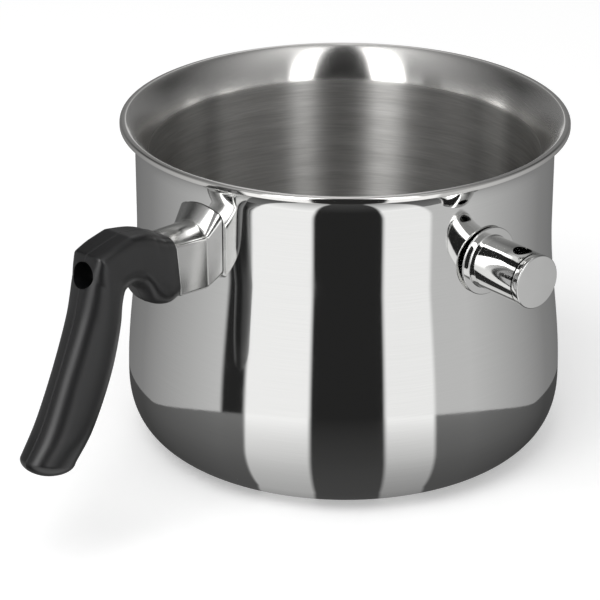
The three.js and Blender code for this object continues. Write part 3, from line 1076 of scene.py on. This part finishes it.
@dataclass
class Grip:
    """The moulded grip: a collar, a roofed elbow, a long drop, a parting line and a deep screw hole."""

    face: float = 94.3
    axis_height: float = 92.5
    back: Array = field(default_factory=lambda: np.array([
        [1.3, 11.9], [4.4, 13.3], [8.6, 15.4], [19.3, 17.4], [27.2, 15.9], [34, 14.4], [36.4, 7.4],
        [40.4, -5.7], [48.7, -24.2], [58, -41.9], [64.4, -50]]))
    front: Array = field(default_factory=lambda: np.array([
        [-1.2, -10.8], [2.6, -12.2], [8.2, -10.6], [12.6, -4], [16.8, -1.6], [20, -2.6], [21.6, -6],
        [22.6, -13.6], [27, -28.4], [36.8, -46.2], [44.8, -55.6]]))
    half_width: Array = field(default_factory=lambda: np.array(
        [8.6, 8.8, 8.5, 7.9, 7.8, 7.8, 8.0, 8.1, 8.2, 8.4, 7.8]))
    back_exponent: Array = field(default_factory=lambda: np.array(
        [5, 4, 4, 7, 7, 4.5, 2.7, 2.3, 2.15, 2.15, 2.15]))
    front_exponent: Array = field(default_factory=lambda: np.array(
        [5, 4, 3, 2.4, 2.2, 2.15, 2.15, 2.15, 2.15, 2.15, 2.15]))
    corners: tuple[int, ...] = (3, 5)
    steps: int = 20
    easing: int = 2
    ridge: float = 0.12
    ridge_width: float = 0.24
    tip_bulge: float = 5.0
    screw_tilt: float = 12.0
    bore_radius: float = 4.5
    bore_start: float = 18.0
    shank_radius: float = 2.3
    drill_back: float = -10.0
    drill_front: float = 60.0
    crease: float = 40.0

    def back_line(self, place: Array) -> Array:
        """The back edge: smooth between its corners, which a running mean then eases.

        Args:
            place: positions along the stations.

        Returns:
            One row of distance and height per position.
        """
        bounds = [0, *self.corners, len(self.back) - 1]
        parts = []
        for first, last in zip(bounds[:-1], bounds[1:]):
            inside = place[(place >= first) & ((place < last) | (last == bounds[-1]))]
            parts.append(catmull_rom(self.back[first: last + 1], inside - first))
        line = np.concatenate(parts)
        before = 2 * line[0] - line[self.easing:0:-1]
        after = 2 * line[-1] - line[-2:-self.easing - 2:-1]
        padded = np.vstack([before, line, after])
        weights = np.hanning(2 * self.easing + 3)[1:-1]
        weights /= weights.sum()
        return pairs(*(np.convolve(part, weights, "valid") for part in padded.T))

    def rings(self) -> Array:
        """The grip's sections from the end face to the tip.

        A section lies between the back edge and the front edge. At sideways share s of the half width it
        stands off the middle by (1 - |s|^n)^(1/n) of half the depth, with its own n for back and front; a
        fine ridge on the middle plane is the parting line.

        Returns:
            Rings by points by (distance, sideways, height).
        """
        stations = np.arange(len(self.back))
        place = np.linspace(0, len(self.back) - 1, (len(self.back) - 1) * self.steps + 1)
        back = self.back_line(place)
        front = catmull_rom(self.front, place)
        half = catmull_rom(self.half_width[:, None], place)
        fine = np.array([0.004, 0.009, 0.016, 0.026, 0.042])
        spread = np.concatenate([fine, np.linspace(0.07, 1, 32)])
        spread = np.concatenate([spread[::-1], [0], -spread])
        share = np.sin(np.pi / 2 * np.sin(np.pi / 2 * spread))[None]
        power_back = np.interp(place, stations, self.back_exponent)[:, None]
        power_front = np.interp(place, stations, self.front_exponent)[:, None]
        depth = np.linalg.norm(back - front, axis=1, keepdims=True) / 2
        line = self.ridge / depth * np.exp(-((share * half / self.ridge_width) ** 2))
        line = line * np.clip(place - 0.6, 0, 1)[:, None]
        rise_back = (1 - np.abs(share) ** power_back) ** (1 / power_back) + line
        rise_front = -((1 - np.abs(share) ** power_front) ** (1 / power_front)) - line
        rise = np.hstack([rise_back, rise_front[:, ::-1][:, 1:]])
        sideways = half * np.hstack([share, share[:, ::-1][:, 1:]])
        middle = ((back + front) / 2)[:, None]
        reach = middle + ((back - front) / 2)[:, None] * rise[..., None]
        return np.stack([self.face + reach[..., 0], sideways, self.axis_height + reach[..., 1]], axis=-1)

    def close(self, ring: Array, normal: Array, bulge: float, count: int) -> Array:
        """Closes an end: the ring shrinks by cos a to its middle and swells by bulge times sin a.

        Args:
            ring: the end's section.
            normal: direction of the swell.
            bulge: its height.
            count: number of rings.

        Returns:
            Rings by points.
        """
        angle = np.linspace(0, np.pi / 2, count)[:, None, None]
        middle = ring.mean(axis=0)
        return middle + (ring - middle) * np.cos(angle) + bulge * np.sin(angle) * normal

    def drill(self) -> bpy.types.Object:
        """The turned shape of the screw hole: a narrow shank hole that opens into a wide one.

        Returns:
            The piece.
        """
        profile = rows(
            [0, self.drill_back], [self.shank_radius, self.drill_back], [self.shank_radius, self.bore_start],
            [self.bore_radius, self.bore_start], [self.bore_radius, self.drill_front], [0, self.drill_front])
        tilt = math.radians(self.screw_tilt)
        sine, cosine = math.sin(tilt), math.cos(tilt)
        matrix = np.array([[0, -sine, cosine], [1, 0, 0], [0, cosine, sine]])
        skin = Skin("grip_drill").add(lathe(profile, 64))
        skin.place(matrix, (self.face, 0, self.axis_height)).place(HANDLE_TURN)
        return skin.build()

    def build(self) -> bpy.types.Object:
        """Skins the sections, closes both ends and cuts the screw hole.

        Returns:
            The piece.
        """
        rings = self.rings()
        depth = self.back[-1] - self.front[-1]
        outward = np.array([depth[1], 0, -depth[0]]) / np.linalg.norm(depth)
        skin = Skin("handle_grip_moulding")
        skin.add(rings)
        skin.add(self.close(rings[-1], outward, self.tip_bulge, 17))
        skin.add(self.close(rings[0], np.array([-1.0, 0, 0]), 0.0, 3))
        piece = skin.place(HANDLE_TURN).build(self.crease)
        drill = self.drill()
        cut = piece.modifiers.new("screw_hole", "BOOLEAN")
        cut.operation = "DIFFERENCE"
        cut.solver = "EXACT"
        cut.object = drill
        graph = bpy.context.evaluated_depsgraph_get()
        whole = piece.data
        piece_mesh = bpy.data.meshes.new_from_object(piece.evaluated_get(graph))
        piece.modifiers.clear()
        piece.data = piece_mesh
        piece_mesh.name = piece.name
        bpy.data.meshes.remove(whole)
        bpy.data.objects.remove(drill)
        piece_mesh.shade_smooth()
        piece_mesh.set_sharp_from_angle(angle=math.radians(self.crease))
        return piece

    def dress(self) -> None:
        """Builds and finishes the grip, and finishes the screw joint's nodes."""
        dress(self.build(), BAKELITE, Body.POT, "handle_grip")
        for node in ("handle_bracket", "bracket_nut", "handle_screw", "spring_washer"):
            keep(node, MILL)


# Studio

LOW_ROWS = 3


@dataclass(frozen=True)
class Card:
    """An upright studio card: its sides' bearings at the floor and above, and its tones from foot to top."""

    low: tuple[float, float]
    top: tuple[float, float]
    tones: tuple[float, ...]

    def cover(self, degrees: Array, row: int, softness: float) -> Array:
        """How far each bearing lies on the card: one inside, zero outside, straight over a soft side.

        Args:
            degrees: bearings of the columns.
            row: of the surround, from the pot's foot upwards.
            softness: width of a soft side, in degrees.

        Returns:
            One share for each bearing.
        """
        start, end = self.low if row < LOW_ROWS else self.top
        inside = np.minimum(degrees - start, end - degrees)
        return np.clip(inside / softness + 0.5, 0, 1) * (end > start)


@dataclass
class Studio:
    """Floor, studio cards, light and camera."""

    azimuth: float = math.radians(-48.25)
    elevation: float = math.radians(24.117)
    distance: float = 1000.0
    target_side: float = -15.952
    target_height: float = 47.809
    lens: float = 163.908
    floor_radius: float = 3000.0
    wall: float = 75.0
    reach: float = 680.0
    heights: tuple[float, ...] = (0.4, 0.4, 0.4, 0.4, 0.4, 500.0, 2600.0, 2600.0)
    edge_side: float = 56.0
    edge_swell: float = 69.0
    edge_span: float = 60.0
    edge_power: float = 1.5
    room_bearings: tuple[float, ...] = (34.0, 66.0, 100.0, 150.0)
    # The first of the room tones, and of most cards' tones, lies at the pot's foot and is darker than the
    # table's. This is painted shade round the foot, seen in the wall's reflection.
    room_tones: tuple[tuple[float, ...], ...] = (
        (0.08, 0.05, 0.06, 0.16), (0.18, 0.07, 0.06, 0.30), (0.56, 0.24, 0.10, 0.62),
        (0.28, 0.02, 0.30, 0.60), (1.00, 0.35, 0.60, 0.80))
    cards: tuple[Card, ...] = (
        Card((-9.0, 10.0), (-9.6, 10.4), (0.06, 0.02, 0.02, 0.02, 0.05)),
        Card((-26.3, -9.0), (-20.4, -9.6), (0.43, 1.08, 1.00, 4.20, 2.00)),
        Card((10.0, 23.2), (10.4, 18.0), (0.30, 1.04, 0.96, 3.20, 1.90)),
        # The last card darkens the floor rows at the handle's side. It is a painted reflection of the
        # handle: a dark stripe on the wall beside the handle's real reflection.
        Card((-33.0, -26.3), (-33.0, -33.0), (0.08, 0.18, 0.02, 0.30, 1.00)))
    card_softness: float = 1.2
    # The ring under the pot glows dark: painted shade beneath the pot, seen in the wall's reflection.
    under: float = 0.07
    under_radius: float = 55.0
    ceiling: float = 0.16
    columns: int = 1440
    floor_drop: float = -0.3
    floor_colour: tuple[float, ...] = (0.86, 0.86, 0.86, 1.0)
    floor_glow: float = 0.34
    sky_seen: float = 0.8
    sky_light: float = 0.576
    lamp_size: float = 0.9
    lamp_energy: float = 9.0
    lamp_bearing: float = -0.5
    lamp_reach: float = 0.8
    lamp_height: float = 1.3
    lamp_target: float = 0.06

    def floor(self) -> bpy.types.Object:
        """A pale disc that keeps the object's shadow and reads as white to the camera and in metal.

        Returns:
            The piece.
        """
        disc = rows([0, self.floor_drop], [self.floor_radius, self.floor_drop])
        piece = Skin("floor").add(lathe(disc, 96)).build()
        material = bpy.data.materials.new("pale_floor")
        tree = Tree(material)
        matt = tree.add("ShaderNodeBsdfDiffuse", inputs={"Color": self.floor_colour})
        glow = tree.add("ShaderNodeEmission", inputs={"Color": seen(tree) * self.floor_glow})
        tree.surface(tree.add("ShaderNodeAddShader", inputs={0: matt, 1: glow}))
        piece.data.materials.append(material)
        return piece

    def bearing(self, angle: Array) -> Array:
        """The level direction at an angle from the camera's own bearing, positive to its right."""
        turned = angle + self.azimuth
        return pairs(np.sin(turned), -np.cos(turned))

    def glow(self, degrees: Array) -> Array:
        """What each row of the surround gives off: the room's tone by bearing, with the cards set over it.

        Args:
            degrees: bearings of the columns.

        Returns:
            One tone for each row and column, from under the pot to the ceiling.
        """
        rows_of_room = []
        for row, tones in enumerate(self.room_tones):
            tone = np.interp(np.abs(degrees), self.room_bearings, tones)
            for card in self.cards:
                tone = tone + card.cover(degrees, row, self.card_softness) * (card.tones[row] - tone)
            rows_of_room.append(tone)
        foot, table, floor, middle, high = rows_of_room
        even = np.ones_like(degrees)
        # The ring under the pot takes the dark under tone: painted shade beneath the pot.
        return np.stack([self.under * even, foot, table, floor, floor, middle, high, self.ceiling * even])

    def surround(self) -> bpy.types.Object:
        """A glowing ruled surface of what the wall reflects, seen by reflections alone.

        From the wall point at bearing b a line runs level at bearing 2b, but not past the back: wall times
        n(b) plus t times n(2b). Its glow goes from the pot's foot to the table's edge, steps there to the
        floor's, and at the reach the surface turns upright and then closes over the top.

        Returns:
            The piece.
        """
        degrees = np.linspace(-180, 180, self.columns + 1)
        angle = np.radians(degrees)
        foot, way = self.wall * self.bearing(angle), self.bearing(np.clip(2 * angle, -np.pi, np.pi))
        along = (foot * way).sum(axis=1)
        far = -along + np.sqrt(along**2 - self.wall**2 + self.reach**2)
        swell = np.clip(1 - (degrees / self.edge_span) ** 2, 0, 1) ** self.edge_power
        edge = self.edge_side + self.edge_swell * swell
        ends = np.stack([0 * far, 0 * far, edge, edge, far, far, far, 0 * far])
        level = foot + ends[..., None] * way
        level[0] *= self.under_radius / self.wall
        level[-1] = 0
        heights = np.array(self.heights)[:, None, None]
        points = np.concatenate([level, np.broadcast_to(heights, (*ends.shape, 1))], axis=-1)
        glow = self.glow(degrees).ravel().astype(np.float32)
        skin = Skin("studio_surround").add(points)
        mesh = bpy.data.meshes.new(skin.name)
        mesh.from_pydata((skin.points[0] * MM).tolist(), [], skin.faces[0].tolist())
        mesh.attributes.new("glow", "FLOAT", "POINT").data.foreach_set("value", glow)
        piece = bpy.data.objects.new(skin.name, mesh)
        bpy.context.scene.collection.objects.link(piece)
        material = bpy.data.materials.new(skin.name)
        tree = Tree(material)
        tone = tree.add("ShaderNodeAttribute", {"attribute_name": "glow"}, output="Color")
        tree.surface(tree.add("ShaderNodeEmission", inputs={"Color": tone}))
        material.cycles.emission_sampling = "NONE"
        mesh.materials.append(material)
        for ray in ("camera", "diffuse", "transmission", "volume_scatter", "shadow"):
            setattr(piece, f"visible_{ray}", False)
        return piece

    def light(self) -> None:
        """A white world and one soft lamp over the camera's left shoulder."""
        world = bpy.data.worlds.new("studio_world")
        bpy.context.scene.world = world
        tree = Tree(world)
        sky = seen(tree) * (self.sky_seen - self.sky_light) + self.sky_light
        tree.surface(tree.add("ShaderNodeBackground", inputs={"Color": sky}), True)
        lamp = bpy.data.lights.new("soft_lamp", "AREA")
        lamp.size = self.lamp_size
        lamp.energy = self.lamp_energy
        holder = bpy.data.objects.new("soft_lamp", lamp)
        bpy.context.scene.collection.objects.link(holder)
        holder.visible_glossy = False
        place = np.array([*(self.lamp_reach * self.bearing(np.array(self.lamp_bearing))), self.lamp_height])
        holder.location = place
        holder.rotation_euler = aim(place, np.array([0, 0, self.lamp_target]))

    def camera(self) -> None:
        """A camera at the distance from its target, along its bearing and elevation."""
        side = np.array([math.cos(self.azimuth), math.sin(self.azimuth), 0])
        target = self.target_side * side + np.array([0, 0, self.target_height])
        level = math.cos(self.elevation) * self.bearing(np.array(0.0))
        back = np.array([*level, math.sin(self.elevation)])
        place = (target + self.distance * back) * MM
        data = bpy.data.cameras.new("camera")
        data.lens = self.lens
        data.sensor_width = 36.0
        data.clip_start = 0.01
        holder = bpy.data.objects.new("camera", data)
        bpy.context.scene.collection.objects.link(holder)
        holder.location = place
        holder.rotation_euler = aim(place, target * MM)
        bpy.context.scene.camera = holder

    def build(self) -> None:
        """Sets the whole stage."""
        bpy.context.scene.view_settings.view_transform = "Standard"
        self.camera()
        self.light()
        self.floor()
        self.surround()


def seen(tree: Tree) -> Wire:
    """One for rays from the camera, from gloss and through glass, and zero for the rest.

    Args:
        tree: takes the nodes.

    Returns:
        The mask.
    """
    path = tree.node("ShaderNodeLightPath")
    camera, glossy, glass = (
        Wire(tree, path.outputs[f"Is {ray} Ray"]) for ray in ("Camera", "Glossy", "Transmission"))
    return camera.math("MAXIMUM", glossy).math("MAXIMUM", glass)


def aim(place: Array, target: Array) -> tuple[float, float, float]:
    """The turn that points an object's -Z from a place to a target, with its +Y upwards.

    Args:
        place: where the object stands.
        target: what it looks at.

    Returns:
        Its three angles in radians.
    """
    away = target - place
    level = math.hypot(away[0], away[1])
    return (math.atan2(level, -away[2]), 0.0, math.atan2(-away[0], away[1]))


def main() -> None:
    """Builds the stage and the sub-assemblies in order."""
    logging.basicConfig(level=logging.INFO, format="%(name)s %(message)s")
    Studio().build()
    for assembly in (OuterBody(), InnerPot(), FillerNeck(), Whistle(), Ferrule(), Grip()):
        assembly.dress()


if __name__ == "__main__":
    main()
